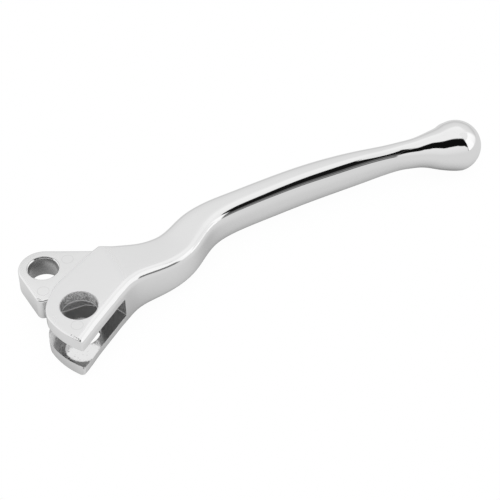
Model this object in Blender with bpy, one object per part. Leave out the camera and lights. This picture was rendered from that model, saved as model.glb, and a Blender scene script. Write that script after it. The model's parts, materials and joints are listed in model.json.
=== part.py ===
"""Hand clutch lever for a motorcycle control, modelled as separate solid pieces.

Frame: origin at the middle of the lever's overall box, +X towards the ball
end, +Y towards the handlebar grip, +Z up along the pivot axis.  "Front" is
the -Y side and "back" the +Y side.  Dimensions are in millimetres, measured
from the pivot axis at mid thickness; the pivot_axis empty carries everything
to its place.
"""
import math

import bmesh
import bpy
import numpy as np
from mathutils import Vector

MM = 0.001

# ---------------------------------------------------------------- dimensions
FORK_HALF = 9.5          # half thickness of the forked end
SLOT_HALF = 4.4          # half height of the cable slot between the ears
SLOT_END_Y = -16.45      # flat back wall of the slot

TONGUE_HALF = 4.75       # half thickness of the pivot tongue
TONGUE_R = 9.5           # radius of the tongue about the pivot axis
TONGUE_ROUND = 0.8       # rounding of the tongue's rims
TONGUE_ROUND_SEG = 3     # segments across that rounding
NOSE_FROM, NOSE_TO = 65.4, 186.0  # arc of the tongue's nose, deg
TONGUE_CORNER_X = -5.55  # centre of the corner between tongue and slot wall
TONGUE_CORNER_R = 2.4    # radius of that corner

PIVOT_BORE_D = 13.7      # bore in the tongue, where the bushing sits
PIVOT_CHAMFER = 0.1      # chamfer at both mouths of the pivot bore
ANCHOR_X, ANCHOR_Y = 4.2, -28.4   # axis of the cable anchor holes
ANCHOR_BORE_D = 14.8     # hole through both ears, where the sleeve turns

BUSH_OD, BUSH_ID, BUSH_LEN = 13.2, 11.7, 9.4      # pivot bushing
BUSH_MOUTH, BUSH_RIM = 0.35, 0.1  # chamfers inside and outside its ends
SLEEVE_OD, SLEEVE_ID, SLEEVE_LEN = 14.3, 13.5, 18.8   # cable anchor sleeve
SLEEVE_RIM = 0.1         # chamfers inside and outside its ends
WINDOW_HALF = 4.7        # half height of the sleeve's cable window
WEB_FROM, WEB_TO = -45.0, -5.0    # arc left standing as the sleeve's web, deg

BALL_X, BALL_R = 180.3, 10.7      # ball end
BALL_ANGLES = (13, 26, 39, 52, 65, 78)   # sections of its outer half, deg

# Pivot axis, from the middle of the overall box
PIVOT_X = -(BALL_X + BALL_R - TONGUE_R) / 2
PIVOT_Y = 17.2

# Reach of the cutters past the surfaces they cut
BORE_FLARE = 2.0         # 45 degree flare past the chamfers of the pivot bore
ANCHOR_CUT_HALF = 14.0   # half length of the anchor bore cutter
WINDOW_CUT_R = 11.0      # radius of the window cutter

# Fork stations: a cut across the lever from the front edge to the back edge.
# front x, front y, back x, back y, cap height, bow of the cut,
# front corner radius, back corner radius
FORK = [
    (-1.9, -44.7, -8.3, -29.5, 8.90, 1.2, 1.6, 0.6),
    (-1.6, -45.2, -8.3, -28.9, 9.32, 1.2, 1.7, 0.6),
    (-0.9, -45.5, -8.2, -28.0, 9.50, 1.1, 1.9, 0.6),
    (0.2, -44.8, -7.9, -26.3, 9.50, 0.7, 2.0, 0.6),
    (1.8, -43.6, -7.2, -24.1, 9.50, 0.3, 2.1, 0.6),
    (3.7, -42.1, -6.0, -21.9, 9.50, 0.0, 2.2, 0.6),
    (5.8, -40.4, -4.3, -19.5, 9.50, 0.0, 2.4, 0.6),
    (8.2, -38.5, -1.7, -16.4, 9.50, 0.0, 2.5, 0.6),
    (10.6, -36.7, 1.5, -13.7, 9.50, 0.0, 2.6, 0.6),
    (13.2, -34.7, 5.7, -11.2, 9.50, 0.0, 2.7, 0.6),
    (16.0, -32.6, 9.8, -8.8, 9.50, 0.0, 2.7, 0.6),
    (18.7, -30.5, 14.0, -6.3, 9.50, 0.0, 2.8, 0.7),
    (21.2, -28.7, 18.2, -3.8, 9.50, 0.0, 2.8, 0.8),
    (23.6, -27.0, 21.9, -1.9, 9.50, 0.0, 2.9, 1.1),
]
FORK_CROWNS = (0.35, 0.0)   # share of full crown at the front and at the back
FORK_EXPONENT = 6.5

# Neck and blade stations: x, y of the centre line, half width, half height,
# corner radius, share of full crown at the front and at the back (0 boxy,
# 1 fully rounded), exponent
BLADE = [
    (28.0, -13.6, 10.6, 9.15, 2.9, 0.35, 0.00, 6.5),
    (36.0, -13.6, 8.9, 8.45, 2.9, 0.35, 0.10, 6.5),
    (44.0, -12.7, 8.5, 7.70, 2.9, 0.38, 0.30, 6.2),
    (50.0, -10.5, 8.2, 7.30, 2.9, 0.45, 0.55, 5.9),
    (56.0, -6.6, 7.7, 7.20, 3.0, 0.65, 0.85, 5.3),
    (62.0, -2.5, 7.2, 7.20, 3.0, 0.95, 1.00, 4.9),
    (70.0, 0.7, 6.5, 7.20, 3.0, 1.00, 1.00, 4.2),
    (80.0, 2.4, 6.1, 7.25, 3.0, 1.00, 1.00, 3.6),
    (95.0, 3.8, 6.0, 7.45, 3.0, 1.00, 1.00, 3.3),
    (110.0, 4.9, 6.0, 7.50, 3.0, 1.00, 1.00, 3.0),
    (125.0, 5.2, 5.8, 7.30, 3.0, 1.00, 1.00, 2.8),
    (140.0, 4.8, 5.05, 6.85, 3.0, 1.00, 1.00, 2.6),
    (152.0, 4.2, 4.6, 6.15, 3.0, 1.00, 1.00, 2.4),
    (157.0, 3.8, 4.8, 6.10, 3.0, 1.00, 1.00, 2.3),
    (161.0, 3.2, 5.2, 6.30, 3.0, 1.00, 1.00, 2.2),
    (165.0, 2.7, 5.95, 6.75, 3.0, 1.00, 1.00, 2.1),
    (169.0, 2.0, 7.3, 7.75, 3.0, 1.00, 1.00, 2.0),
    (173.0, 1.2, 8.8, 8.85, 3.0, 1.00, 1.00, 2.0),
    (176.6, 0.4, 10.05, 10.05, 3.0, 1.00, 1.00, 2.0),
    (BALL_X, 0.0, BALL_R, BALL_R, 3.0, 1.00, 1.00, 2.0),
]
NECK_SLOPE = 0.03        # slope of the centre line at the first blade station
LEAD_STATIONS = 5        # last fork stations that steer the splines of the blade

# Plan of the cable slot (x, y), open to the end and to the front
SLOT = [(-14, SLOT_END_Y), (10.0, SLOT_END_Y), (12.5, -18.0), (20.1, -23.7),
        (21.0, -25.1), (21.9, -27.1), (22.6, -30.0), (24.0, -50.0), (-14, -50.0)]
# Root of the tongue in plan (x, y): inside the body, behind the slot wall
TONGUE_ROOT = [(9.0, SLOT_END_Y), (18.0, -11.5), (34.0, -10.0), (34.2, -5.2)]

STEP = 3.2               # spacing of sections along the blade
QUADRANT = (5, 21, 37, 53, 69, 85)   # surface normal angles in each quarter
ROUND_SEG = 48           # sides of the round pieces
SHARP_ANGLE = 35         # edges sharper than this stay sharp in shading, deg


# ---------------------------------------------------------------- curves
def span_index(knots, at):
    """Index of the span between knots that holds each point of at."""
    return np.clip(np.searchsorted(knots, at, side="right") - 1, 0, len(knots) - 2)


def natural_spline(knots, values, at):
    """Natural cubic spline through (knots, values) at the points at."""
    count, gap = len(knots), np.diff(knots)
    matrix, rhs = np.zeros((count, count)), np.zeros(count)
    matrix[0, 0] = matrix[-1, -1] = 1.0
    for i in range(1, count - 1):
        matrix[i, i - 1:i + 2] = gap[i - 1], 2 * (gap[i - 1] + gap[i]), gap[i]
        rhs[i] = 6 * ((values[i + 1] - values[i]) / gap[i]
                      - (values[i] - values[i - 1]) / gap[i - 1])
    bend = np.linalg.solve(matrix, rhs)     # second derivative at each knot
    i = span_index(knots, at)
    width, ahead, behind = gap[i], knots[i + 1] - at, at - knots[i]
    return ((bend[i] * ahead ** 3 + bend[i + 1] * behind ** 3) / (6 * width)
            + (values[i] / width - bend[i] * width / 6) * ahead
            + (values[i + 1] / width - bend[i + 1] * width / 6) * behind)


def monotone_spline(knots, values, at):
    """Shape-preserving cubic through (knots, values) at the points at."""
    gap = np.diff(knots)
    rise = np.diff(values) / gap
    slope = np.zeros(len(knots))
    for i in range(1, len(knots) - 1):
        if rise[i - 1] * rise[i] > 0:
            before, after = 2 * gap[i] + gap[i - 1], gap[i] + 2 * gap[i - 1]
            slope[i] = (before + after) / (before / rise[i - 1] + after / rise[i])
    slope[0], slope[-1] = rise[0], rise[-1]
    i = span_index(knots, at)
    part = (at - knots[i]) / gap[i]
    return ((1 + 2 * part) * (1 - part) ** 2 * values[i]
            + part * (1 - part) ** 2 * gap[i] * slope[i]
            + part * part * (3 - 2 * part) * values[i + 1]
            + part * part * (part - 1) * gap[i] * slope[i + 1])


def distances(points):
    """Distance from each plan point to the next."""
    return np.hypot(*np.diff(points, axis=0).T)


def arc(centre_x, centre_y, radius, start, end, steps):
    """Plan points on an arc from start to end, in degrees."""
    points = []
    for i in range(steps + 1):
        angle = math.radians(start + (end - start) * i / steps)
        points.append((centre_x + radius * math.cos(angle),
                       centre_y + radius * math.sin(angle)))
    return points


# ---------------------------------------------------------------- sections
def section(half_width, half_height, radii, crowns, exponent):
    """One closed section as (across, up) points; front is negative across.

    radii and crowns are (front, back) pairs.  Points are placed by the
    direction of the surface normal, so the boxy and the rounded forms blend
    without kinks."""
    def corner_point(degrees, radius, crown):
        angle = math.radians(degrees)
        radius = min(radius, 0.95 * half_width, 0.95 * half_height)
        box_across = half_width - radius + radius * math.cos(angle)
        box_up = half_height - radius + radius * math.sin(angle)
        ratio = ((math.tan(angle) * half_height / half_width)
                 ** (exponent / (2.0 * (exponent - 1.0))))
        cosine = 1.0 / math.hypot(1.0, ratio)
        round_across = half_width * cosine ** (2.0 / exponent)
        round_up = half_height * (ratio * cosine) ** (2.0 / exponent)
        return (box_across + (round_across - box_across) * crown,
                box_up + (round_up - box_up) * crown)

    front, back = ([corner_point(angle, radius, crown) for angle in QUADRANT]
                   for radius, crown in zip(radii, crowns))
    ring = [(-half_width, 0.0)] + [(-x, -z) for x, z in front] + [(0.0, -half_height)]
    ring += [(x, -z) for x, z in reversed(back)] + [(half_width, 0.0)]
    ring += back + [(0.0, half_height)]
    ring += [(-x, z) for x, z in reversed(front)]
    return ring


def placed_section(front, back, half_height, radii, crowns, exponent,
                   cap=math.inf, bow=0.0):
    """Section on its cut from front to back in plan.

    cap limits its half height; bow bends the cut away from the ball."""
    front_x, front_y = front
    run_x, run_y = back[0] - front_x, back[1] - front_y
    length = math.hypot(run_x, run_y)
    normal_x, normal_y = -run_y / length, run_x / length
    points = []
    for across, up in section(length / 2, half_height, radii, crowns, exponent):
        part = (across + length / 2) / length
        shift = bow * 4 * part * (1 - part)
        points.append((front_x + run_x * part + normal_x * shift,
                       front_y + run_y * part + normal_y * shift,
                       math.copysign(min(abs(up), cap), up)))
    return points


def fork_sections():
    return [placed_section((front_x, front_y), (back_x, back_y), FORK_HALF,
                           radii, FORK_CROWNS, FORK_EXPONENT, cap, bow)
            for front_x, front_y, back_x, back_y, cap, bow, *radii in FORK]


def blade_edges(blade):
    """Front and back edge points of the blade stations, in plan."""
    x, y, half_width = blade[:, 0], blade[:, 1], blade[:, 2]
    slope = (natural_spline(x, y, x + 0.01) - natural_spline(x, y, x - 0.01)) / 0.02
    slope[0], slope[-2:] = NECK_SLOPE, 0.0
    stretch = np.hypot(1.0, slope)
    offset = np.stack([-half_width * slope / stretch, half_width / stretch], 1)
    centre = blade[:, :2]
    return centre - offset, centre + offset


def blade_sections():
    """Neck and blade, from just past the last fork station to mid ball."""
    blade = np.array(BLADE)
    lead = np.array(FORK[-LEAD_STATIONS:])
    joint = lead[-1]
    front, back = blade_edges(blade)

    # run: distance along the middle of the stations, 0 at the last fork one
    lead_middle = (lead[:, :2] + lead[:, 2:4]) / 2
    middle = np.vstack([lead_middle[-1], (front + back) / 2])
    run = np.concatenate([[0.0], np.cumsum(distances(middle))])
    lead_run = -np.cumsum(distances(lead_middle)[::-1])[::-1]
    long_run = np.concatenate([lead_run, run])

    stops = []
    for start, end in zip(run[:-1], run[1:]):
        count = max(1, int(round((end - start) / STEP)))
        stops += [start + (end - start) * (i + 1) / count for i in range(count)]
    stops = np.array(stops)

    # the front edge and the height also follow the lead stations
    front_knots = np.vstack([lead[:, :2], front])
    back_knots = np.vstack([joint[2:4], back])
    fronts = zip(*(natural_spline(long_run, column, stops) for column in front_knots.T))
    backs = zip(*(natural_spline(run, column, stops) for column in back_knots.T))
    heights = natural_spline(long_run, np.concatenate([lead[:, 4], blade[:, 3]]), stops)

    # value at the last fork station, column of BLADE that it runs on into
    forms = [(joint[6], 4), (joint[7], 4),
             (FORK_CROWNS[0], 5), (FORK_CROWNS[1], 6), (FORK_EXPONENT, 7)]
    blends = zip(*(monotone_spline(run, np.concatenate([[first], blade[:, column]]), stops)
                   for first, column in forms))
    return [placed_section(front_point, back_point, height, form[:2], form[2:4], form[4])
            for front_point, back_point, height, form in zip(fronts, backs, heights, blends)]


def ball_sections():
    """Outer half of the ball; full crown makes each section a circle."""
    rings = []
    for degrees in BALL_ANGLES:
        angle = math.radians(degrees)
        x, radius = BALL_X + BALL_R * math.sin(angle), BALL_R * math.cos(angle)
        rings.append(placed_section((x, -radius), (x, radius), radius,
                                    radii=(1.0, 1.0), crowns=(1.0, 1.0), exponent=2.0))
    return rings


# ---------------------------------------------------------------- mesh tools
def new_object(name, verts, faces, material=None, location=(0, 0, 0), smooth=True):
    mesh = bpy.data.meshes.new(name)
    mesh.from_pydata([Vector(point) * MM for point in verts], [], faces)
    bm = bmesh.new()
    bm.from_mesh(mesh)
    bmesh.ops.recalc_face_normals(bm, faces=bm.faces)
    bm.to_mesh(mesh)
    bm.free()
    if smooth:
        mesh.shade_smooth()
        mesh.set_sharp_from_angle(angle=math.radians(SHARP_ANGLE))
    obj = bpy.data.objects.new(name, mesh)
    obj.location = Vector(location) * MM
    bpy.context.scene.collection.objects.link(obj)
    if material:
        mesh.materials.append(material)
    return obj


def loft(name, rings, tip, material):
    """Skin over the rings, with a flat first end and a fan to the tip."""
    count = len(rings[0])
    verts = [point for ring in rings for point in ring] + [tip]
    faces = []
    for s in range(len(rings) - 1):
        this, following = s * count, (s + 1) * count
        for k in range(count):
            j = (k + 1) % count
            faces.append((this + k, this + j, following + j, following + k))
    # end wall: each point below mid height joins its twin above; the dict
    # drops the repeated corner where the wall narrows to a triangle
    for k in range(count // 2):
        corners = (k, k + 1, count - k - 1, (count - k) % count)
        faces.append(tuple(dict.fromkeys(corners)))
    last = (len(rings) - 1) * count
    for k in range(count):
        faces.append((last + k, last + (k + 1) % count, len(verts) - 1))
    return new_object(name, verts, faces, material)


def prism(name, outline, half):
    """Straight extrusion of a plan outline between z = -half and +half."""
    n = len(outline)
    verts = [(x, y, z) for z in (-half, half) for x, y in outline]
    faces = [tuple(range(n - 1, -1, -1)), tuple(range(n, 2 * n))]
    faces += [(i, (i + 1) % n, n + (i + 1) % n, n + i) for i in range(n)]
    return new_object(name, verts, faces, smooth=False)


def round_rims(obj, radius, segments):
    """Round the level edges of a prism."""
    bm = bmesh.new()
    bm.from_mesh(obj.data)
    rims = [e for e in bm.edges
            if abs(e.verts[0].co.z - e.verts[1].co.z) < 1e-7]
    bmesh.ops.bevel(bm, geom=rims, offset=radius * MM, offset_type="OFFSET",
                    segments=segments, profile=0.5, affect="EDGES",
                    clamp_overlap=False)
    bmesh.ops.recalc_face_normals(bm, faces=bm.faces)
    bm.to_mesh(obj.data)
    bm.free()


def turned(name, profile, material=None, location=(0, 0, 0), closed=False):
    """Turn a profile of (radius, z) points about Z.  The ends of an open
    profile are shut by flat discs; a closed one makes a ring."""
    verts, faces, count = [], [], len(profile)
    for i in range(ROUND_SEG):
        angle = 2 * math.pi * i / ROUND_SEG
        verts += [(r * math.cos(angle), r * math.sin(angle), z) for r, z in profile]
    for i in range(ROUND_SEG):
        j = (i + 1) % ROUND_SEG
        for k in range(count if closed else count - 1):
            n = (k + 1) % count
            faces.append((i * count + k, j * count + k, j * count + n, i * count + n))
    if not closed:
        faces.append(tuple(i * count for i in range(ROUND_SEG)))
        faces.append(tuple(i * count + count - 1 for i in reversed(range(ROUND_SEG))))
    return new_object(name, verts, faces, material, location)


def tube(name, outer_d, inner_d, length, mouth, rim, material):
    """Tube with a chamfer inside (mouth) and outside (rim) each end."""
    outer, inner, half = outer_d / 2, inner_d / 2, length / 2
    profile = [(inner, -half + mouth), (inner + mouth, -half),
               (outer - rim, -half), (outer, -half + rim),
               (outer, half - rim), (outer - rim, half),
               (inner + mouth, half), (inner, half - mouth)]
    return turned(name, profile, material, closed=True)


def boolean(target, tool, operation):
    """Apply a helper shape to the target, and hide the helper."""
    tool.hide_render = True
    tool.display_type = "WIRE"
    mod = target.modifiers.new(operation.title() + " " + tool.name, "BOOLEAN")
    mod.operation = operation
    mod.solver = "EXACT"
    mod.object = tool


def axis_empty(name, x, y, parent=None):
    empty = bpy.data.objects.new(name, None)
    empty.location = (x * MM, y * MM, 0.0)
    empty.parent = parent
    bpy.context.scene.collection.objects.link(empty)
    return empty


def metal(name, colour, roughness):
    mat = bpy.data.materials.new(name)
    mat.use_nodes = True
    bsdf = mat.node_tree.nodes["Principled BSDF"]
    bsdf.inputs["Base Color"].default_value = (*colour, 1.0)
    bsdf.inputs["Roughness"].default_value = roughness
    bsdf.inputs["Metallic"].default_value = 1.0
    mat.diffuse_color = (*colour, 1.0)
    return mat


# ---------------------------------------------------------------- pieces
def tongue_shape():
    """Tongue with a round nose about the pivot axis and a straight -X side
    that turns through a corner into the slot wall."""
    outline = arc(0.0, 0.0, TONGUE_R, NOSE_FROM, NOSE_TO, steps=14)
    outline += arc(TONGUE_CORNER_X, SLOT_END_Y + TONGUE_CORNER_R, TONGUE_CORNER_R,
                   NOSE_TO, 270.0, steps=4)
    tongue = prism("tongue_shape", outline + TONGUE_ROOT, TONGUE_HALF)
    round_rims(tongue, TONGUE_ROUND, TONGUE_ROUND_SEG)
    return tongue


def pivot_bore_shape():
    radius, straight = PIVOT_BORE_D / 2, TONGUE_HALF - PIVOT_CHAMFER
    flare_radius, flare_z = radius + BORE_FLARE, straight + BORE_FLARE
    return turned("pivot_bore_shape", [(flare_radius, flare_z), (radius, straight),
                                       (radius, -straight), (flare_radius, -flare_z)])


def anchor_bore_shape():
    radius = ANCHOR_BORE_D / 2
    return turned("anchor_bore_shape",
                  [(radius, ANCHOR_CUT_HALF), (radius, -ANCHOR_CUT_HALF)],
                  location=(ANCHOR_X, ANCHOR_Y, 0.0))


def build_lever(pivot_axis, chrome):
    """Lofted fork, neck, blade and ball, with the tongue joined on and the
    slot and both bores cut through."""
    rings = fork_sections() + blade_sections() + ball_sections()
    lever = loft("lever_body", rings, (BALL_X + BALL_R, 0.0, 0.0), chrome)
    lever.parent = pivot_axis
    for tool, operation in ((tongue_shape(), "UNION"),
                            (prism("slot_shape", SLOT, SLOT_HALF), "DIFFERENCE"),
                            (pivot_bore_shape(), "DIFFERENCE"),
                            (anchor_bore_shape(), "DIFFERENCE")):
        tool.parent = pivot_axis
        boolean(lever, tool, operation)


def build_bushing(pivot_axis, steel):
    """Bushing that the lever swings on."""
    bushing = tube("pivot_bushing", BUSH_OD, BUSH_ID, BUSH_LEN,
                   BUSH_MOUTH, BUSH_RIM, steel)
    bushing.parent = pivot_axis


def build_sleeve(anchor_axis, steel):
    """Thin sleeve that carries the cable end between the ears; its window
    faces the cable, and a web away from the cable joins the two collars."""
    sleeve = tube("cable_anchor_sleeve", SLEEVE_OD, SLEEVE_ID, SLEEVE_LEN,
                  SLEEVE_RIM, SLEEVE_RIM, steel)
    outline = [(0.0, 0.0)] + arc(0.0, 0.0, WINDOW_CUT_R, WEB_TO, 360.0 + WEB_FROM, steps=8)
    window = prism("window_shape", outline, WINDOW_HALF)
    boolean(sleeve, window, "DIFFERENCE")
    sleeve.parent = window.parent = anchor_axis


# ---------------------------------------------------------------- build
for old in list(bpy.data.objects):
    bpy.data.objects.remove(old, do_unlink=True)

pivot = axis_empty("pivot_axis", PIVOT_X, PIVOT_Y)
anchor = axis_empty("anchor_axis", ANCHOR_X, ANCHOR_Y, parent=pivot)

build_lever(pivot, metal("lever_chrome", colour=(0.86, 0.86, 0.87), roughness=0.05))
build_bushing(pivot, metal("bushing_steel", colour=(0.50, 0.50, 0.50), roughness=0.32))
build_sleeve(anchor, metal("sleeve_steel", colour=(0.34, 0.34, 0.35), roughness=0.42))
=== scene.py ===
"""Chromed hand lever with a steel pivot bushing and a steel cable anchor sleeve.

The script lays shapes out in millimetres from the pivot axis at mid thickness.
Both turned pieces stand along Z. The pivot tongue is at the origin, the slotted
fork lies on its -Y side, and the blade runs along +X to a ball. "Front" is the
-Y edge of the lever, which faces the camera, and "back" is the other edge.
"""
import json
import math

import bmesh
import bpy
import numpy as np
from mathutils import Matrix, Vector


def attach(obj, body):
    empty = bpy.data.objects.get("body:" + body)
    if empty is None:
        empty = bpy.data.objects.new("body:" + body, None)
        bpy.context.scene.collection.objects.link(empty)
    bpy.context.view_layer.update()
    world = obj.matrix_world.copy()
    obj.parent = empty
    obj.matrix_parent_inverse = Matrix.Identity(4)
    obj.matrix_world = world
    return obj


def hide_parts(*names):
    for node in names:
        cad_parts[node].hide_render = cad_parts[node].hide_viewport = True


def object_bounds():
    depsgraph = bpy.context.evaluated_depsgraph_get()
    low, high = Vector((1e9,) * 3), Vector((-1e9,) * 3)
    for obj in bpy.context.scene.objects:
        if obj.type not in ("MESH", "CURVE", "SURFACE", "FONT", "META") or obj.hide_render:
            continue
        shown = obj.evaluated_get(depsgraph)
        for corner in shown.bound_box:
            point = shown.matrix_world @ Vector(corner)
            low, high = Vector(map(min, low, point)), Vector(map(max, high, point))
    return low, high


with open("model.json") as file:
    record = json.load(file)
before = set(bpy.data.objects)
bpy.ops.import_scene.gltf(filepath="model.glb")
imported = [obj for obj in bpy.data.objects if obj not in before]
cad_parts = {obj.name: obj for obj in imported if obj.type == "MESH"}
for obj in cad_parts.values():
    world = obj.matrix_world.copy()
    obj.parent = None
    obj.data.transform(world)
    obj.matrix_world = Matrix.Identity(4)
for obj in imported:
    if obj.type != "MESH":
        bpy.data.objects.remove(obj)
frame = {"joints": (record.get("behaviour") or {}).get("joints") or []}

CAD_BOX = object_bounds()
MM = 0.001

# ---------------------------------------------------------------- sizes (mm, degrees)
JOINTS = {joint["name"]: joint for joint in frame["joints"]}
PIVOT = Vector(JOINTS["lever_pivot"]["pos_m"])
ANCHOR = (Vector(JOINTS["anchor_turn"]["pos_m"]) - PIVOT) / MM

# level directions seen from the camera
RIGHT = (0.9057, -0.4239, 0.0)
AHEAD = (0.4239, 0.9057, 0.0)

FORK_HALF = 9.5
SLOT_HALF = 4.4
SLOT_END_Y = -16.45

TONGUE_HALF = 4.75
TONGUE_R = 9.5
TONGUE_ROUND = 0.8
TONGUE_ARC = (65.4, 186.0)     # angles of the round end
TONGUE_FILLET_R = 2.4
TONGUE_FILLET_X = -5.55

BUSH_OD, BUSH_ID, BUSH_LEN = 12.5, 11.45, 9.4
BUSH_MOUTH, BUSH_RIM = 0.41, 0.03
SLEEVE_OD, SLEEVE_ID, SLEEVE_LEN = 14.3, 13.8, 18.8
SLEEVE_MOUTH, SLEEVE_RIM = 0.06, 0.04
BORE_PLAY = 0.04               # how much wider each bore is than its ring
WINDOW_HALF = 4.7
WINDOW_REACH = 11.0            # radius of the window cutter, beyond the sleeve
WEB_FROM, WEB_TO = -30.0, -6.0   # the wall left standing beside the window

BALL_X, BALL_R = 180.3, 10.7

# front x, front y, back x, back y, bow, front corner radius, back corner radius
FORK = [
    (-0.9, -45.5, -8.2, -28.0, 1.1, 1.9, 0.6),
    (0.2, -44.8, -7.9, -26.3, 0.7, 2.0, 0.6),
    (1.8, -43.6, -7.2, -24.1, 0.3, 2.1, 0.6),
    (3.7, -42.1, -6.0, -21.9, 0.0, 2.2, 0.6),
    (5.8, -40.4, -4.3, -19.5, 0.0, 2.4, 0.6),
    (8.2, -38.5, -1.7, -16.4, 0.0, 2.5, 0.6),
    (10.6, -36.7, 1.5, -13.7, 0.0, 2.6, 0.6),
    (13.2, -34.7, 5.7, -11.2, 0.0, 2.7, 0.6),
    (16.0, -32.6, 9.8, -8.8, 0.0, 2.7, 0.6),
    (18.7, -30.5, 14.0, -6.3, 0.0, 2.8, 0.7),
    (21.2, -28.7, 18.2, -3.8, 0.0, 2.8, 0.8),
    (23.6, -27.0, 21.9, -1.9, 0.0, 2.9, 1.1),
]
FORK_STATIONS = 30
FORK_CROWN = 0.35              # on the front edge only
FORK_EXPONENT = 6.5

# rounded end wall of the fork: inset, front x, front y, back x, back y
END_WALL = [
    (0.0, -1.9, -44.7, -8.3, -29.5),
    (0.18, -1.6, -45.2, -8.3, -28.9),
    (0.6, -0.9, -45.5, -8.2, -28.0),
]
END_ROUND = 0.6
END_ANGLES = (0, 18, 36, 54, 72)
END_RADII = (1.7, 0.6)         # front and back corner
END_BOW = 1.2

# x, y, half width, half height, corner radius, front crown, back crown, exponent
BLADE = [
    (28.0, -13.6, 10.6, 9.15, 2.9, 0.35, 0.00, 6.5),
    (36.0, -13.6, 8.9, 8.45, 2.9, 0.35, 0.10, 6.5),
    (44.0, -12.7, 8.5, 7.70, 2.9, 0.38, 0.30, 6.2),
    (50.0, -10.5, 8.2, 7.30, 2.9, 0.45, 0.55, 5.9),
    (56.0, -6.6, 7.7, 7.20, 3.0, 0.65, 0.85, 5.3),
    (62.0, -2.5, 7.2, 7.20, 3.0, 0.95, 1.00, 4.9),
    (70.0, 0.7, 6.5, 7.20, 3.0, 1.00, 1.00, 4.2),
    (80.0, 2.4, 6.1, 7.25, 3.0, 1.00, 1.00, 3.6),
    (95.0, 3.8, 6.0, 7.45, 3.0, 1.00, 1.00, 3.3),
    (110.0, 4.9, 6.0, 7.50, 3.0, 1.00, 1.00, 3.0),
    (125.0, 5.2, 5.8, 7.30, 3.0, 1.00, 1.00, 2.8),
    (140.0, 4.8, 5.05, 6.85, 3.0, 1.00, 1.00, 2.6),
    (152.0, 4.2, 4.6, 6.15, 3.0, 1.00, 1.00, 2.4),
    (157.0, 3.8, 4.8, 6.10, 3.0, 1.00, 1.00, 2.3),
    (161.0, 3.2, 5.2, 6.30, 3.0, 1.00, 1.00, 2.2),
    (165.0, 2.7, 5.95, 6.75, 3.0, 1.00, 1.00, 2.1),
    (169.0, 2.0, 7.3, 7.75, 3.0, 1.00, 1.00, 2.0),
    (173.0, 1.2, 8.8, 8.85, 3.0, 1.00, 1.00, 2.0),
    (176.6, 0.4, 10.05, 10.05, 3.0, 1.00, 1.00, 2.0),
    (BALL_X, 0.0, BALL_R, BALL_R, 3.0, 1.00, 1.00, 2.0),
]
BLADE_STEP = 1.1               # distance between lofted sections
BLADE_FIRST_SLOPE = 0.03
LEAD = 5                       # last fork stations that steer the start of the blade

# x, y outline of the slot cutter
SLOT = [
    (-14, SLOT_END_Y), (10.0, SLOT_END_Y), (12.5, -18.0), (20.1, -23.7), (21.0, -25.1),
    (21.9, -27.1), (22.6, -30.0), (24.0, -50.0), (-14, -50.0),
]

# mesh resolution
NORMALS = (4, 9, 15, 21, 27, 33, 39, 45, 51, 57, 63, 69, 75, 81, 86)   # per quarter section
FLATS = 4                      # extra points on each half flat
TURNED_SEGMENTS = 128
ROUND_SEGMENTS = 6


# ---------------------------------------------------------------- curves
def cubic(knots, values, at):
    """Natural cubic spline through (knots, values), read at the given places."""
    knots, values, at = (np.asarray(a, float) for a in (knots, values, at))
    count = len(knots)
    gaps = np.diff(knots)
    matrix = np.zeros((count, count))
    target = np.zeros(count)
    matrix[0, 0] = matrix[-1, -1] = 1.0
    for i in range(1, count - 1):
        matrix[i, i - 1:i + 2] = gaps[i - 1], 2 * (gaps[i - 1] + gaps[i]), gaps[i]
        target[i] = 6 * ((values[i + 1] - values[i]) / gaps[i]
                         - (values[i] - values[i - 1]) / gaps[i - 1])
    bend = np.linalg.solve(matrix, target)
    i = np.clip(np.searchsorted(knots, at, side="right") - 1, 0, count - 2)
    gap, after, before = gaps[i], knots[i + 1] - at, at - knots[i]
    return ((bend[i] * after ** 3 + bend[i + 1] * before ** 3) / (6 * gap)
            + (values[i] / gap - bend[i] * gap / 6) * after
            + (values[i + 1] / gap - bend[i + 1] * gap / 6) * before)


def monotone(knots, values, at):
    """Cubic through (knots, values) that never overshoots them."""
    knots, values, at = (np.asarray(a, float) for a in (knots, values, at))
    gaps = np.diff(knots)
    rise = np.diff(values) / gaps
    slope = np.zeros(len(knots))
    for i in range(1, len(knots) - 1):
        if rise[i - 1] * rise[i] > 0:
            before, after = 2 * gaps[i] + gaps[i - 1], gaps[i] + 2 * gaps[i - 1]
            slope[i] = (before + after) / (before / rise[i - 1] + after / rise[i])
    slope[0], slope[-1] = rise[0], rise[-1]
    i = np.clip(np.searchsorted(knots, at, side="right") - 1, 0, len(knots) - 2)
    t = (at - knots[i]) / gaps[i]
    return ((1 + 2 * t) * (1 - t) ** 2 * values[i] + t * (1 - t) ** 2 * gaps[i] * slope[i]
            + t * t * (3 - 2 * t) * values[i + 1] + t * t * (t - 1) * gaps[i] * slope[i + 1])


def distance_along(points):
    return np.concatenate([[0.0], np.cumsum(np.hypot(*np.diff(points, axis=0).T))])


def arc(radius, start, end, steps, centre=(0.0, 0.0)):
    points = []
    for i in range(steps + 1):
        angle = math.radians(start + (end - start) * i / steps)
        points.append((centre[0] + radius * math.cos(angle),
                       centre[1] + radius * math.sin(angle)))
    return points


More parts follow.
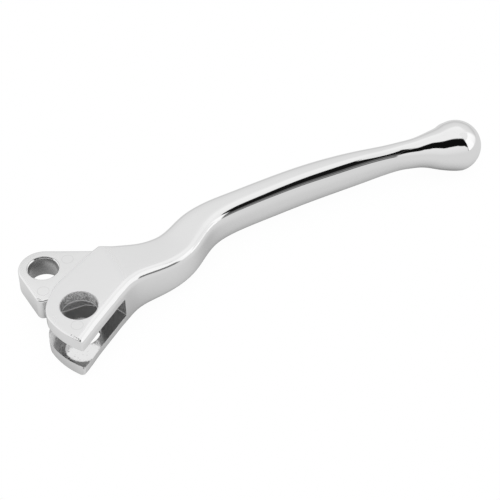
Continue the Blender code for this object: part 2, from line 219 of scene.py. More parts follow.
# ---------------------------------------------------------------- lever sections
def section(half_width, half_height, front, back, exponent):
    """Closed section as (u, v): u from the front edge to the back, v upwards.

    front and back are (corner radius, crown). Crown 0 gives a rounded box and
    crown 1 a superellipse; points are paired by surface normal to blend them.
    """
    def box(angle, radius):
        turn = math.radians(angle)
        return (half_width - radius + radius * math.cos(turn),
                half_height - radius + radius * math.sin(turn))

    def oval(angle):
        ratio = ((math.tan(math.radians(angle)) * half_height / half_width)
                 ** (exponent / (2.0 * (exponent - 1.0))))
        cosine = 1.0 / math.hypot(1.0, ratio)
        return (half_width * cosine ** (2.0 / exponent),
                half_height * (ratio * cosine) ** (2.0 / exponent))

    def quarter(radius, crown):
        radius = min(radius, 0.95 * half_width, 0.95 * half_height)
        parts = [step / FLATS for step in range(1, FLATS + 1)]
        tilts = [max(1e-3, 3.0 * part ** (exponent - 1.0)) for part in parts]
        flats = list(zip(parts, tilts))
        pairs = [((half_width, (half_height - radius) * part), oval(tilt))
                 for part, tilt in flats]
        pairs += [(box(angle, radius), oval(angle)) for angle in NORMALS]
        pairs += [(((half_width - radius) * part, half_height), oval(90.0 - tilt))
                  for part, tilt in reversed(flats)]
        return [(box_u + (oval_u - box_u) * crown, box_v + (oval_v - box_v) * crown)
                for (box_u, box_v), (oval_u, oval_v) in pairs]

    front, back = quarter(*front), quarter(*back)
    ring = [(-half_width, 0.0)] + [(-u, -v) for u, v in front] + [(0.0, -half_height)]
    ring += [(u, -v) for u, v in reversed(back)] + [(half_width, 0.0)]
    ring += [(u, v) for u, v in back] + [(0.0, half_height)]
    ring += [(-u, v) for u, v in reversed(front)]
    return ring


def place_section(start, end, half_height, front, back, exponent, cap=math.inf, bow=0.0):
    """Upright section from start (front x, y) to end (back x, y).

    cap limits the height on either side, and bow bends the section sideways.
    """
    run_x, run_y = end[0] - start[0], end[1] - start[1]
    length = math.hypot(run_x, run_y)
    normal_x, normal_y = -run_y / length, run_x / length
    points = []
    for u, v in section(length / 2, half_height, front, back, exponent):
        t = (u + length / 2) / length
        shift = bow * 4 * t * (1 - t)
        points.append((start[0] + run_x * t + normal_x * shift,
                       start[1] + run_y * t + normal_y * shift,
                       math.copysign(min(abs(v), cap), v)))
    return points


def end_wall_rings():
    table = np.array(END_WALL)
    rings = []
    for angle in END_ANGLES:
        turn = math.radians(angle)
        inset = END_ROUND * (1 - math.cos(turn))
        cap = FORK_HALF - END_ROUND + END_ROUND * math.sin(turn)
        front_x, front_y, back_x, back_y = (
            np.interp(inset, table[:, 0], table[:, i]) for i in range(1, 5))
        rings.append(place_section(
            (front_x, front_y), (back_x, back_y), FORK_HALF, (END_RADII[0], FORK_CROWN),
            (END_RADII[1], 0.0), FORK_EXPONENT, cap, END_BOW))
    return rings


def fork_rings():
    fork = np.array(FORK)
    run = distance_along((fork[:, :2] + fork[:, 2:4]) / 2)
    at = np.linspace(0, run[-1], FORK_STATIONS)
    columns = [cubic(run, fork[:, i], at) for i in range(4)]
    columns += [monotone(run, fork[:, i], at) for i in range(4, 7)]
    return [place_section((front_x, front_y), (back_x, back_y), FORK_HALF,
                          (front_r, FORK_CROWN), (back_r, 0.0), FORK_EXPONENT, bow=bow)
            for front_x, front_y, back_x, back_y, bow, front_r, back_r in zip(*columns)]


def blade_rings():
    """Neck, blade and inner half of the ball, following on from the fork."""
    blade = np.array(BLADE)
    x, y, half_width = blade[:, 0], blade[:, 1], blade[:, 2]
    slope = (cubic(x, y, x + 0.01) - cubic(x, y, x - 0.01)) / 0.02
    slope[0] = BLADE_FIRST_SLOPE
    slope[-2:] = 0.0
    scale = np.hypot(1.0, slope)
    front = np.stack([x + half_width * slope / scale, y - half_width / scale], 1)
    back = np.stack([x - half_width * slope / scale, y + half_width / scale], 1)

    lead = np.array(FORK)[-LEAD:]
    corner = lead[-1]
    lead_middle = (lead[:, :2] + lead[:, 2:4]) / 2
    run = distance_along(np.vstack([lead_middle[-1], (front + back) / 2]))
    lead_run = -distance_along(lead_middle[::-1])[:0:-1]
    front_run = np.concatenate([lead_run, run])
    front = np.vstack([lead[:, :2], front])
    back = np.vstack([corner[2:4], back])

    at = []
    for start, end in zip(run[:-1], run[1:]):
        count = max(1, int(round((end - start) / BLADE_STEP)))
        at += [start + (end - start) * (i + 1) / count for i in range(count)]
    at = np.array(at)
    front_x, front_y = (cubic(front_run, front[:, i], at) for i in range(2))
    back_x, back_y = (cubic(run, back[:, i], at) for i in range(2))
    height = cubic(front_run, np.concatenate([np.full(LEAD, FORK_HALF), blade[:, 3]]), at)
    # value at the fork, BLADE column
    shape = ((corner[5], 4), (corner[6], 4), (FORK_CROWN, 5), (0.0, 6), (FORK_EXPONENT, 7))
    front_r, back_r, front_crown, back_crown, exponent = (
        monotone(run, np.concatenate([[first], blade[:, column]]), at)
        for first, column in shape)
    return [place_section((front_x[i], front_y[i]), (back_x[i], back_y[i]), height[i],
                          (front_r[i], front_crown[i]), (back_r[i], back_crown[i]),
                          exponent[i])
            for i in range(len(at))]


def ball_rings():
    """Outer half of the ball."""
    rings = []
    for angle in range(6, 90, 6):
        x = BALL_X + BALL_R * math.sin(math.radians(angle))
        radius = BALL_R * math.cos(math.radians(angle))
        rings.append(place_section((x, -radius), (x, radius), radius,
                                   front=(1.0, 1.0), back=(1.0, 1.0), exponent=2.0))
    return rings


# ---------------------------------------------------------------- mesh tools
def new_object(name, verts, faces, material, smooth=True):
    mesh = bpy.data.meshes.new(name)
    mesh.from_pydata([Vector(v) * MM for v in verts], [], faces)
    bm = bmesh.new()
    bm.from_mesh(mesh)
    bmesh.ops.recalc_face_normals(bm, faces=bm.faces)
    bm.to_mesh(mesh)
    bm.free()
    if smooth:
        mesh.shade_smooth()
    mesh.materials.append(material)
    obj = bpy.data.objects.new(name, mesh)
    obj.location = PIVOT
    bpy.context.scene.collection.objects.link(obj)
    return obj


def loft(name, rings, tip, material):
    """Skin over the rings: the first is closed flat, the last runs to the tip."""
    count = len(rings[0])
    verts = [point for ring in rings for point in ring] + [tip]
    faces = []
    for level in range(len(rings) - 1):
        low, high = level * count, (level + 1) * count
        for k in range(count):
            j = (k + 1) % count
            faces.append((low + k, low + j, high + j, high + k))
    for k in range(count // 2):
        corners = (k, k + 1, (count - k - 1) % count, (count - k) % count)
        faces.append(tuple(dict.fromkeys(corners)))
    last = (len(rings) - 1) * count
    for k in range(count):
        faces.append((last + k, last + (k + 1) % count, len(verts) - 1))
    return new_object(name, verts, faces, material)


def round_rims(mesh, radius):
    bm = bmesh.new()
    bm.from_mesh(mesh)
    rims = [e for e in bm.edges if abs(e.verts[0].co.z - e.verts[1].co.z) < 1e-7]
    bmesh.ops.bevel(bm, geom=rims, offset=radius * MM, offset_type="OFFSET",
                    segments=ROUND_SEGMENTS, profile=0.5, affect="EDGES",
                    clamp_overlap=False)
    for face in bm.faces:
        face.smooth = True
    bmesh.ops.recalc_face_normals(bm, faces=bm.faces)
    bm.to_mesh(mesh)
    bm.free()


def prism(name, outline, half, material, rounding=0.0):
    count = len(outline)
    verts = [(x, y, z) for z in (-half, half) for x, y in outline]
    faces = [tuple(range(count - 1, -1, -1)), tuple(range(count, 2 * count))]
    faces += [(i, (i + 1) % count, count + (i + 1) % count, count + i)
              for i in range(count)]
    obj = new_object(name, verts, faces, material, smooth=bool(rounding))
    if rounding:
        round_rims(obj.data, rounding)
    return obj


def turned(name, profile, material, centre=(0.0, 0.0), closed=False):
    """Turn a (radius, z) profile; an open one gets a cap at each end."""
    verts, faces = [], []
    count = len(profile)
    for i in range(TURNED_SEGMENTS):
        angle = 2 * math.pi * i / TURNED_SEGMENTS
        verts += [(centre[0] + r * math.cos(angle), centre[1] + r * math.sin(angle), z)
                  for r, z in profile]
    for i in range(TURNED_SEGMENTS):
        j = (i + 1) % TURNED_SEGMENTS
        for k in range(count if closed else count - 1):
            after = (k + 1) % count
            faces.append((i * count + k, j * count + k, j * count + after,
                          i * count + after))
    if not closed:
        faces.append(tuple(i * count for i in range(TURNED_SEGMENTS)))
        faces.append(tuple(i * count + count - 1 for i in reversed(range(TURNED_SEGMENTS))))
    return new_object(name, verts, faces, material)


def boolean(target, tool, operation):
    modifier = target.modifiers.new(operation, "BOOLEAN")
    modifier.operation = operation
    modifier.solver = "EXACT"
    modifier.object = tool
    modifier.material_mode = "TRANSFER"


def bake(obj, tools, sharp_angle):
    """Apply the modifiers, drop the cutters and mark the sharp edges."""
    bpy.context.view_layer.update()
    depsgraph = bpy.context.evaluated_depsgraph_get()
    mesh = bpy.data.meshes.new_from_object(obj.evaluated_get(depsgraph), depsgraph=depsgraph)
    obj.modifiers.clear()
    obj.data = mesh
    mesh.name = obj.name
    mesh.shade_smooth()
    mesh.set_sharp_from_angle(angle=math.radians(sharp_angle))
    for tool in tools:
        bpy.data.objects.remove(tool, do_unlink=True)


# ---------------------------------------------------------------- shader tools
def linear(grey):
    """Linear light for a display grey from 0 to 255."""
    level = grey / 255.0
    return level / 12.92 if level <= 0.04045 else ((level + 0.055) / 1.055) ** 2.4


def put(tree, socket, value):
    if isinstance(value, Value):
        tree.links.new(value.socket, socket)
    else:
        socket.default_value = value


def add_node(tree, kind, inputs=None, output=0, **settings):
    """Add a node, fill its inputs by name or number and return one output."""
    node = tree.nodes.new("ShaderNode" + kind)
    for name, value in settings.items():
        setattr(node, name, value)
    for key, value in (inputs or {}).items():
        put(tree, node.inputs[key], value)
    return Value(tree, node.outputs[output])


def math_node(tree, operation, first, second=0.0, third=0.0, clamp=False):
    return add_node(tree, "Math", {0: first, 1: second, 2: third},
                    operation=operation, use_clamp=clamp)


def vector_node(tree, operation, first, second=(0, 0, 0), **scale):
    is_number = operation in ("DOT_PRODUCT", "LENGTH", "DISTANCE")
    return add_node(tree, "VectorMath", {0: first, 1: second, **scale},
                    "Value" if is_number else "Vector", operation=operation)


class Value:
    """Output of a shader node; each operation on it adds the matching node."""

    def __init__(self, tree, socket):
        self.tree = tree
        self.socket = socket

    def __add__(self, other):
        return math_node(self.tree, "ADD", self, other)

    def __sub__(self, other):
        return math_node(self.tree, "SUBTRACT", self, other)

    def __rsub__(self, other):
        return math_node(self.tree, "SUBTRACT", other, self)

    def __mul__(self, other):
        return math_node(self.tree, "MULTIPLY", self, other)

    def __rmul__(self, other):
        return math_node(self.tree, "MULTIPLY", other, self)

    def __lt__(self, other):
        return math_node(self.tree, "LESS_THAN", self, other)

    def __abs__(self):
        return math_node(self.tree, "ABSOLUTE", self)

    def scaled(self, by, plus):
        return math_node(self.tree, "MULTIPLY_ADD", self, by, plus)

    def larger(self, other):
        return math_node(self.tree, "MAXIMUM", self, other)

    def dot(self, direction):
        return vector_node(self.tree, "DOT_PRODUCT", self, direction)

    def distance(self, point):
        return vector_node(self.tree, "DISTANCE", self, point)

    def split(self):
        node = add_node(self.tree, "SeparateXYZ", {0: self}).socket.node
        return [Value(self.tree, socket) for socket in node.outputs]

    def fade(self, start, end, before=0.0, after=1.0):
        """Ease from before to after as the value goes from start to end."""
        inputs = dict(enumerate((self, start, end, before, after)))
        return add_node(self.tree, "MapRange", inputs,
                        interpolation_type="SMOOTHSTEP", clamp=True)

    def mix(self, off, on):
        """off where this mask is 0, on where it is 1."""
        return add_node(self.tree, "Mix", {0: self, 2: off, 3: on}, data_type="FLOAT")

    def ramp(self, stops):
        """Piecewise level, for stops of (value from 0 to 1, display grey)."""
        colour = add_node(self.tree, "ValToRGB", {0: self})
        elements = colour.socket.node.color_ramp.elements
        while len(elements) > 1:
            elements.remove(elements[-1])
        for i, (position, grey) in enumerate(stops):
            element = elements[0] if i == 0 else elements.new(position)
            element.position = position
            element.color = (linear(grey),) * 3 + (1.0,)
        return add_node(self.tree, "RGBToBW", {0: colour})

    def noise(self, scale, detail, rough):
        return add_node(self.tree, "TexNoise", {
            "Vector": self, "Scale": scale, "Detail": detail, "Roughness": rough})

    def speckle(self, scale):
        return add_node(self.tree, "TexVoronoi", {"Vector": self, "Scale": scale}, "Distance")

    def bump(self, strength, distance, edge_radius=None):
        """Surface normal from this height, with edges softened if a radius is given."""
        inputs = {"Strength": strength, "Distance": distance, "Height": self}
        if edge_radius:
            inputs["Normal"] = add_node(self.tree, "Bevel", {"Radius": edge_radius}, samples=4)
        return add_node(self.tree, "Bump", inputs)

    def grey(self):
        return add_node(self.tree, "CombineColor", dict.fromkeys(range(3), self))


def join(x, y, z):
    return add_node(x.tree, "CombineXYZ", {0: x, 1: y, 2: z})


def turning_lines(coord_parts, squeeze, scale):
    """Fine rings round the Z axis: noise squeezed across it."""
    x, y, z = coord_parts
    return join(x * squeeze, y * squeeze, z).noise(scale=scale, detail=3.0, rough=0.6)


def ring_mark(coord, centre_x, centre_y, height):
    """Thin circle on the face at this height (mm): 1 on the circle, else 0."""
    radius, width, depth = 2.2 * MM, 0.18 * MM, 0.0006
    x, y, z = coord.split()
    distance = join(x, y, 0.0).distance((centre_x * MM, centre_y * MM, 0.0))
    off_line = math_node(coord.tree, "DIVIDE", abs(distance - radius), width)
    on_line = math_node(coord.tree, "SUBTRACT", 1.0, off_line, clamp=True)
    return on_line * (abs(z - height * MM) < depth)


def scuff_mask(coord, start, end, width):
    """1 close to the segment start-end, fading to 0 at width (mm)."""
    tree = coord.tree
    along = Vector(end) - Vector(start)
    offset = vector_node(tree, "SUBTRACT", coord, tuple(Vector(start) * MM))
    part = math_node(tree, "MULTIPLY", offset.dot(tuple(along)),
                     1.0 / (along.length_squared * MM), clamp=True)
    foot = vector_node(tree, "SCALE", tuple(along * MM), Scale=part)
    distance = vector_node(tree, "LENGTH", vector_node(tree, "SUBTRACT", offset, foot))
    return distance.fade(start=width * MM, end=0.3 * width * MM)


def new_metal(name, preview):
    """New metallic material and its object coordinates."""
    material = bpy.data.materials.new(name)
    material.use_nodes = True
    tree = material.node_tree
    tree.nodes["Principled BSDF"].inputs["Metallic"].default_value = 1.0
    material.diffuse_color = (preview, preview, preview, 1.0)
    return material, add_node(tree, "TexCoord", output="Object")


def finish(material, tone, roughness, normal, metallic=None):
    tree = material.node_tree
    inputs = tree.nodes["Principled BSDF"].inputs
    put(tree, inputs["Base Color"], tone.grey())
    put(tree, inputs["Roughness"], roughness)
    put(tree, inputs["Normal"], normal)
    if metallic:
        put(tree, inputs["Metallic"], metallic)
    return material


# ---------------------------------------------------------------- materials
# segment start and end, width (mm)
SCUFFS = [
    ((-7.6, -13.8, 4.6), (-6.4, -15.2, 4.6), 0.35),
    ((-1.6, -45.2, -4.7), (-1.4, -45.2, -5.2), 0.45),
    ((-3.4, -41.0, 9.4), (-1.3, -44.6, 9.3), 0.5),
]
# centre x, centre y, height of the face (mm)
RING_MARKS = [
    (-4.0, -11.4, TONGUE_HALF), (10.0, 0.6, TONGUE_HALF), (0.2, -37.2, FORK_HALF),
]


def chrome_material():
    """Bright plating with a few worn spots and pressed circles."""
    material, coord = new_metal("lever_chrome", preview=0.86)
    ripple = coord.noise(scale=210.0, detail=2.0, rough=0.45)
    peel = coord.noise(scale=1500.0, detail=2.0, rough=0.5)
    haze = coord.noise(scale=55.0, detail=3.0, rough=0.55)
    grit = coord.noise(scale=2600.0, detail=2.0, rough=0.6)
    first, second, third = (scuff_mask(coord, *scuff) for scuff in SCUFFS)
    worn = first.larger(second.larger(third)) * grit.fade(start=0.50, end=0.60)
    # the flat faces of fork and tongue are a little softer
    x = coord.split()[0]
    up = add_node(coord.tree, "NewGeometry", output="Normal").split()[2]
    flat = abs(up).fade(start=0.992, end=0.999) * x.fade(start=46.0 * MM, end=28.0 * MM)
    rough = flat.scaled(by=0.24, plus=haze.scaled(by=0.05, plus=0.015))
    marks = ring_mark(coord, *RING_MARKS[0])
    for mark in RING_MARKS[1:]:
        marks = marks.larger(ring_mark(coord, *mark))
    plate = haze.scaled(by=0.03, plus=0.925) - marks.scaled(by=0.12, plus=flat * 0.03)
    height = ripple * 1.0 + peel * 0.12 - marks * 5.0
    return finish(material, tone=worn.mix(off=plate, on=0.10),
                  roughness=worn.mix(off=rough, on=0.55),
                  normal=height.bump(strength=0.16, distance=0.00006, edge_radius=0.00022))


def cast_material():
    """Walls of the anchor holes: a grainy skin, left as cast."""
    material, coord = new_metal("as_cast_wall", preview=0.5)
    grain = coord.noise(scale=1400.0, detail=4.0, rough=0.65)
    pits = coord.speckle(scale=1700.0)
    tone = (grain + pits * 0.35).fade(start=0.45, end=0.85, before=0.20, after=0.72)
    return finish(material, tone, roughness=grain.scaled(by=0.3, plus=0.22),
                  normal=(grain + pits).bump(strength=0.7, distance=0.00008))


def bore_material():
    """Reamed bore with fine rings round the axis."""
    material, coord = new_metal("reamed_bore", preview=0.6)
    lines = turning_lines(coord.split(), squeeze=0.04, scale=5200.0)
    blot = coord.noise(scale=420.0, detail=3.0, rough=0.6)
    return finish(material, tone=blot.fade(start=0.3, end=0.75, before=0.50, after=0.78),
                  roughness=blot.scaled(by=0.2, plus=0.12),
                  normal=lines.bump(strength=0.35, distance=0.00003, edge_radius=0.0001))


def slot_material():
    """Flat inner faces of the slot: mirror-bright round the anchor, rougher deeper in, with
    painted shade darkening the tone deeper in.
    """
    material, coord = new_metal("slot_plating", preview=0.8)
    x, y, z = coord.split()
    bright_centre = (0.4 * MM, -36.5 * MM, 0.0)
    away = join(x, y, 0.0).distance(bright_centre)
    left_end = coord.dot(RIGHT).fade(start=6.6 * MM, end=5.7 * MM)
    deep = away.fade(start=7.0 * MM, end=8.2 * MM) * (1.0 - left_end)
    deep = deep * x.fade(start=-1.0 * MM, end=2.0 * MM).larger(
        y.fade(start=-27.0 * MM, end=-30.0 * MM))
    wave = coord.noise(scale=420.0, detail=3.0, rough=0.55)
    patches = coord.noise(scale=900.0, detail=3.0, rough=0.6)
    dull = (patches.fade(start=0.58, end=0.66)
            * coord.speckle(scale=1100.0).fade(start=0.5, end=0.2))
    # painted shade: the tone falls from 0.56 to 0.38 deeper into the slot
    deep_painted_shade = y.fade(start=-32.0 * MM, end=-24.0 * MM, before=0.56, after=0.38)
    rough = wave.scaled(by=0.10, plus=0.04) + deep.larger(left_end) * 0.24
    return finish(material, tone=dull.mix(off=deep.mix(off=0.92, on=deep_painted_shade), on=0.35),
                  roughness=dull.mix(off=rough, on=0.5),
                  normal=wave.bump(strength=0.25, distance=0.00008, edge_radius=0.00015))


def wall_material():
    """Upright walls of the slot: grainy, with a painted highlight line at foot and head."""
    material, coord = new_metal("slot_wall", preview=0.4)
    grain = coord.noise(scale=1100.0, detail=3.0, rough=0.6)
    raw = coord.split()[0].fade(start=-4.2 * MM, end=-2.0 * MM)
    # painted highlight: a white, non-metal line just inside the foot and head of the wall
    painted_highlight = abs(coord.split()[2]).fade(start=(SLOT_HALF - 0.65) * MM,
                                      end=(SLOT_HALF - 0.45) * MM)
    painted_highlight = painted_highlight * raw.scaled(by=0.7, plus=0.3)
    raw_tone = grain.fade(start=0.3, end=0.7, before=0.76, after=0.96)
    return finish(material, tone=painted_highlight.mix(off=raw.mix(off=0.93, on=raw_tone), on=1.0),
                  roughness=raw.mix(off=0.36, on=grain.scaled(by=0.2, plus=0.38)),
                  normal=(grain * raw).bump(strength=0.3, distance=0.00006),
                  metallic=1.0 - painted_highlight)


def turned_steel(name, tone, rough, grain=0.0, low=1.0, window=None):
    """Turned steel with rings round the axis and optional grain.

    low darkens the lower half as painted shade. A window half height (mm) adds a painted
    highlight band over the window's height and just past its edges.
    """
    material, coord = new_metal(name, preview=tone)
    parts = coord.split()
    z = parts[2]
    lines = turning_lines(parts, squeeze=0.05, scale=6500.0)
    blot = coord.noise(scale=1300.0 if grain else 700.0, detail=4.0, rough=0.65)
    spread = blot.fade(start=0.36, end=0.64) if grain else blot
    shade = lines * 0.10 + spread * (0.12 + grain) + (tone - 0.11 - grain / 2)
    # painted shade: below mid height the tone is scaled down towards low
    shade = shade * z.fade(start=-5.0 * MM, end=0.0, before=low, after=1.0)
    metallic = None
    if window:
        # painted highlight: a white, non-metal band at the window's edges
        band = abs(z).fade(start=(window + 0.60) * MM, end=(window + 0.40) * MM)
        shade = band.mix(off=shade, on=1.0)
        metallic = 1.0 - band
    height = lines + blot * (1.0 + 4 * grain)
    return finish(material, shade, roughness=blot.scaled(by=0.22, plus=rough - 0.08),
                  normal=height.bump(strength=0.4, distance=0.00003 + 0.00020 * grain,
                                     edge_radius=0.00008),
                  metallic=metallic)


chrome = chrome_material()
cast = cast_material()
bore = bore_material()
slot_plating = slot_material()
bush_steel = turned_steel("bushing_steel", tone=0.62, rough=0.24)
slot_wall = wall_material()
# low=0.40 paints shade on the sleeve's lower half; window paints a highlight band at the
# window's edges
sleeve_steel = turned_steel("sleeve_steel", tone=0.66, rough=0.32, grain=0.40, low=0.40,
                            window=WINDOW_HALF)


# ---------------------------------------------------------------- pieces
def tongue_outline():
    fillet_centre = (TONGUE_FILLET_X, SLOT_END_Y + TONGUE_FILLET_R)
    points = arc(TONGUE_R, *TONGUE_ARC, steps=60)
    points += arc(TONGUE_FILLET_R, TONGUE_ARC[1], 270.0, steps=12, centre=fillet_centre)
    # the rest runs into the neck
    return points + [(9.0, SLOT_END_Y), (18.0, -11.5), (34.0, -10.0), (34.2, -5.2)]


def bore_cutter(name, ring_diameter, half, material, centre=(0.0, 0.0)):
    radius = (ring_diameter + BORE_PLAY) / 2
    return turned(name, [(radius, half), (radius, -half)], material, centre)


def build_lever():
    rings = end_wall_rings() + fork_rings() + blade_rings() + ball_rings()
    lever = loft("lever_chrome_body", rings, (BALL_X + BALL_R, 0.0, 0.0), chrome)
    tongue = prism("t_tongue", tongue_outline(), TONGUE_HALF, chrome, TONGUE_ROUND)
    cutters = [
        prism("t_slot", SLOT, SLOT_HALF, slot_plating),
        bore_cutter("t_bore", BUSH_OD, 8.0, bore),
        bore_cutter("t_anchor", SLEEVE_OD, 14.0, cast, (ANCHOR.x, ANCHOR.y)),
    ]
    boolean(lever, tongue, "UNION")
    for cutter in cutters:
        boolean(lever, cutter, "DIFFERENCE")
    bake(lever, [tongue] + cutters, sharp_angle=32.0)
    # the upright walls of the slot get their own material
    names = [material.name for material in lever.data.materials]
    lever.data.materials.append(slot_wall)
    for face in lever.data.polygons:
        if names[face.material_index] == slot_plating.name and abs(face.normal.z) < 0.5:
            face.material_index = len(names)
    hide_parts("lever_body")
    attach(lever, "lever")


def tube_profile(outer, inner, length, mouth, rim):
    """Closed section of a tube: chamfered mouths and rounded outer rims."""
    outer_r, inner_r, half = outer / 2, inner / 2, length / 2
    lead, ease = 0.06, 0.02        # soften the two corners of the chamfer
    end = [(inner_r, half - mouth - lead), (inner_r + ease, half - mouth),
           (inner_r + 0.35 * mouth, half - 0.68 * mouth),
           (inner_r + 0.7 * mouth, half - 0.35 * mouth),
           (inner_r + mouth - ease, half - ease), (inner_r + mouth + lead, half)]
    end += arc(rim, 90.0, 0.0, steps=4, centre=(outer_r - rim, half - rim))
    return [(r, -z) for r, z in end] + end[::-1]


def chrome_faces(obj, height, steep=0.9, reach=0.1):
    """Chrome the steeply tilted faces within reach of +height and -height (mm)."""
    obj.data.materials.append(chrome)
    for face in obj.data.polygons:
        if (abs(face.normal.z) > steep
                and abs(abs(face.center.z / MM) - height) < reach):
            face.material_index = len(obj.data.materials) - 1


def build_bushing():
    profile = tube_profile(BUSH_OD, BUSH_ID, BUSH_LEN, BUSH_MOUTH, BUSH_RIM)
    bush = turned("pivot_bushing_turned", profile, bush_steel, closed=True)
    bush.data.set_sharp_from_angle(angle=math.radians(50))
    chrome_faces(bush, BUSH_LEN / 2, steep=0.45, reach=0.4)
    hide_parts("pivot_bushing")
    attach(bush, "pivot")


def build_sleeve():
    """Sleeve opened at mid height, all round but for one standing web."""
    centre = (ANCHOR.x, ANCHOR.y)
    profile = tube_profile(SLEEVE_OD, SLEEVE_ID, SLEEVE_LEN, SLEEVE_MOUTH, SLEEVE_RIM)
    sleeve = turned("cable_anchor_sleeve_turned", profile, sleeve_steel, centre, closed=True)
    sector = [centre] + arc(WINDOW_REACH, WEB_TO, 360.0 + WEB_FROM, steps=16, centre=centre)
    cutter = prism("t_window", sector, WINDOW_HALF, sleeve_steel)
    boolean(sleeve, cutter, "DIFFERENCE")
    bake(sleeve, [cutter], sharp_angle=50.0)
    chrome_faces(sleeve, SLEEVE_LEN / 2)
    chrome_faces(sleeve, WINDOW_HALF)
    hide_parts("cable_anchor_sleeve")
    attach(sleeve, "cable_anchor")


build_lever()
build_bushing()
build_sleeve()

# ---------------------------------------------------------------- stage
FLOOR_Z = CAD_BOX[0].z - 0.00012   # metres
FLOOR_HALF = 2.5                   # metres

# (height from 0 at the bottom to 1 at the top, display grey)
FRONT_GREYS = [(0.0, 170), (0.10, 186), (0.20, 205), (0.40, 213), (0.52, 219),
               (0.60, 226), (0.70, 230), (0.86, 237), (0.95, 240), (1.0, 243)]
BACK_GREYS = [(0.0, 170), (0.40, 207), (0.53, 199), (0.60, 209), (0.68, 221),
              (0.80, 226), (0.85, 231), (0.875, 241), (0.90, 248), (1.0, 250)]
# (upward part of the direction, display grey)
PANEL_GREYS = [(0.0, 234), (0.15, 243), (0.30, 247), (0.50, 252), (0.64, 253),
               (0.72, 247), (0.82, 240)]
SLAT_GREYS = [(0.04, 208), (0.09, 185), (0.14, 90), (0.19, 84), (0.25, 152), (0.30, 140),
              (0.36, 78), (0.41, 72), (0.46, 112), (0.50, 96), (0.55, 28), (0.66, 20),
              (1.0, 20)]

# name, strength, middle (mm), distance from it (m), corners as (azimuth, elevation)
CARDS = [
    ("card_side", 1.04, (BALL_X, 0.0, 0.0), 0.110,
     ((47, 8), (60, 5), (86, 8), (86, 46), (72, 47), (56, 50), (45, 47))),
    ("card_top", 0.84, (BALL_X, 0.0, 0.0), 0.110,
     ((44, 47), (56, 50), (72, 47), (86, 46), (112, 46), (112, 76), (85, 84), (40, 80))),
    ("card_neck", 0.97, (37.0, -21.0, 7.5), 0.060,
     ((50, 29), (66, 27), (96, 22), (116, 66), (76, 79), (44, 73))),
]

CAMERA_PLACE = (-101.6, -401.4, 413.9)   # mm from the pivot
CAMERA_LOOK = (0.3023, 0.6460, -0.7009)


def new_sheet(name, corners, material):
    mesh = bpy.data.meshes.new(name)
    mesh.from_pydata(corners, [], [tuple(range(len(corners)))])
    mesh.materials.append(material)
    sheet = bpy.data.objects.new(name, mesh)
    bpy.context.scene.collection.objects.link(sheet)
    return sheet


def floor_material():
    """Glowing floor with soft contact shading, clear from below."""
    material = bpy.data.materials.new("pale_floor")
    material.use_nodes = True
    tree = material.node_tree
    for node in list(tree.nodes):
        if node.type != "OUTPUT_MATERIAL":
            tree.nodes.remove(node)
    openness = add_node(tree, "AmbientOcclusion", {"Distance": 0.030}, "AO", samples=8)
    camera_ray = add_node(tree, "LightPath", output="Is Camera Ray")
    seen = openness.fade(start=0.0, end=0.85).mix(off=linear(252), on=1.0)
    mirrored = openness.fade(start=0.0, end=1.0).mix(off=linear(96), on=linear(217))
    level = camera_ray.mix(off=mirrored, on=seen)
    glow = add_node(tree, "Emission", {"Color": level.grey()})
    clear = add_node(tree, "BsdfTransparent")
    below = add_node(tree, "NewGeometry", output="Backfacing")
    surface = add_node(tree, "MixShader", {0: below, 1: glow, 2: clear})
    put(tree, tree.nodes["Material Output"].inputs["Surface"], surface)
    return material


def make_floor():
    corners = [(x * FLOOR_HALF, y * FLOOR_HALF, FLOOR_Z)
               for x, y in ((-1, -1), (1, -1), (1, 1), (-1, 1))]
    new_sheet("floor", corners, floor_material())


def wall_level(x, y, z):
    """Pale studio walls, brighter on the far left."""
    height = z.scaled(by=0.5, plus=0.5)
    walls = y.fade(start=0.15, end=0.75).mix(off=height.ramp(FRONT_GREYS),
                                            on=height.ramp(BACK_GREYS))
    left = ((x.fade(start=-0.35, end=-0.75) * y.fade(start=-0.1, end=0.25))
            * (z.fade(start=-0.05, end=0.15) * z.fade(start=0.9, end=0.75)))
    return left.mix(off=walls, on=linear(246))


def panel_mask(azimuth, z):
    """Bright panel to the right."""
    return ((azimuth.fade(start=0.82, end=0.90) * azimuth.fade(start=2.20, end=1.95))
            * (z.fade(start=0.00, end=0.16) * z.fade(start=0.82, end=0.70)))


def front_gap_mask(x, y, z, azimuth, wobble):
    """Dark band that slants across the front."""
    tree = x.tree
    across = join(x, y, z).dot((0.27, 0.721, 0.639)) + wobble
    upper = math_node(tree, "MINIMUM", x.fade(start=0.2, end=0.45, before=0.42, after=0.41),
                      y.scaled(by=-0.42, plus=0.35))
    lower = math_node(tree, "MAXIMUM", -0.26, x.scaled(by=0.13, plus=-0.19))
    gap = (across - lower).fade(start=0.0, end=0.03) * (upper - across).fade(start=0.0, end=0.08)
    gap = gap * (x + y).fade(start=0.03, end=-0.03)
    return gap * azimuth.fade(start=-1.30, end=-1.10).larger(z.fade(start=0.80, end=0.88))


def right_gap_mask(azimuth, z, wavy_z):
    """Dark opening to the right, wider towards its top."""
    reach = z.fade(start=0.66, end=0.88, before=1.36, after=1.92)
    sides = azimuth.fade(start=0.74, end=0.80) * (azimuth - reach).fade(start=0.0, end=-0.12)
    return sides * (wavy_z.fade(start=0.05, end=0.11) * wavy_z.fade(start=0.935, end=0.905))


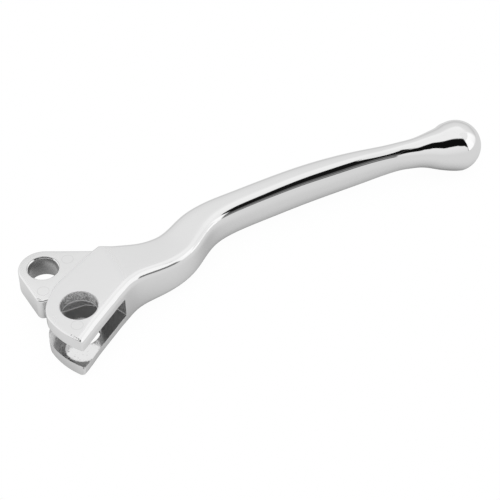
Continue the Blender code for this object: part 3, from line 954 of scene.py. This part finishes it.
def make_world():
    """Soft white studio, seen only in reflections; the camera sees plain white."""
    world = bpy.data.worlds.new("studio")
    world.use_nodes = True
    bpy.context.scene.world = world
    tree = world.node_tree
    direction = add_node(tree, "TexCoord", output="Generated")
    x, y = direction.dot(RIGHT), direction.dot(AHEAD)
    z = direction.split()[2]
    azimuth = math_node(tree, "ARCTAN2", x, y * -1.0)   # 0 behind the camera
    wobble = direction.noise(scale=7.0, detail=3.0, rough=0.6).scaled(by=0.10, plus=-0.05)
    wavy_z = wobble.scaled(by=0.25, plus=z)

    level = wall_level(x, y, z)
    level = panel_mask(azimuth, z).mix(off=level, on=1.06 * z.ramp(PANEL_GREYS))
    level = front_gap_mask(x, y, z, azimuth, wobble).mix(off=level, on=linear(14))
    level = right_gap_mask(azimuth, z, wavy_z).mix(off=level, on=wavy_z.ramp(SLAT_GREYS))
    level = add_node(tree, "LightPath", output="Is Camera Ray").mix(off=level, on=1.0)
    background = tree.nodes["Background"]
    put(tree, background.inputs["Color"], level.grey())
    background.inputs["Strength"].default_value = 1.0


def make_card(name, strength, middle, away, corners):
    """Small bright reflector close to the lever, hidden from the camera."""
    centre = PIVOT + Vector(middle) * MM
    right, ahead = Vector(RIGHT), Vector(AHEAD)
    verts = []
    for corner in corners:
        azimuth, elevation = (math.radians(angle) for angle in corner)
        level = (right * math.sin(azimuth) - ahead * math.cos(azimuth)) * math.cos(elevation)
        verts.append(centre + (level + Vector((0, 0, math.sin(elevation)))) * away)
    material = bpy.data.materials.new(name + "_glow")
    material.use_nodes = True
    tree = material.node_tree
    glow = add_node(tree, "Emission", {"Strength": strength})
    put(tree, tree.nodes["Material Output"].inputs["Surface"], glow)
    card = new_sheet(name, verts, material)
    card.visible_camera = card.visible_shadow = card.visible_diffuse = False


def make_camera():
    data = bpy.data.cameras.new("camera")
    data.lens = 110.0
    data.sensor_width = 36.0
    data.sensor_fit = "HORIZONTAL"
    data.clip_start = 0.01
    data.clip_end = 20.0
    camera = bpy.data.objects.new("camera", data)
    camera.location = PIVOT + Vector(CAMERA_PLACE) * MM
    look = Vector(CAMERA_LOOK).normalized()
    right = Vector(RIGHT).normalized()
    turn = Matrix((right, right.cross(look), -look)).transposed().to_4x4()
    camera.matrix_world = Matrix.Translation(camera.location) @ turn
    bpy.context.scene.collection.objects.link(camera)
    bpy.context.scene.camera = camera


make_floor()
make_world()
for card_values in CARDS:
    make_card(*card_values)
make_camera()
bpy.context.scene.view_settings.view_transform = "Standard"
bpy.context.scene.view_settings.look = "None"
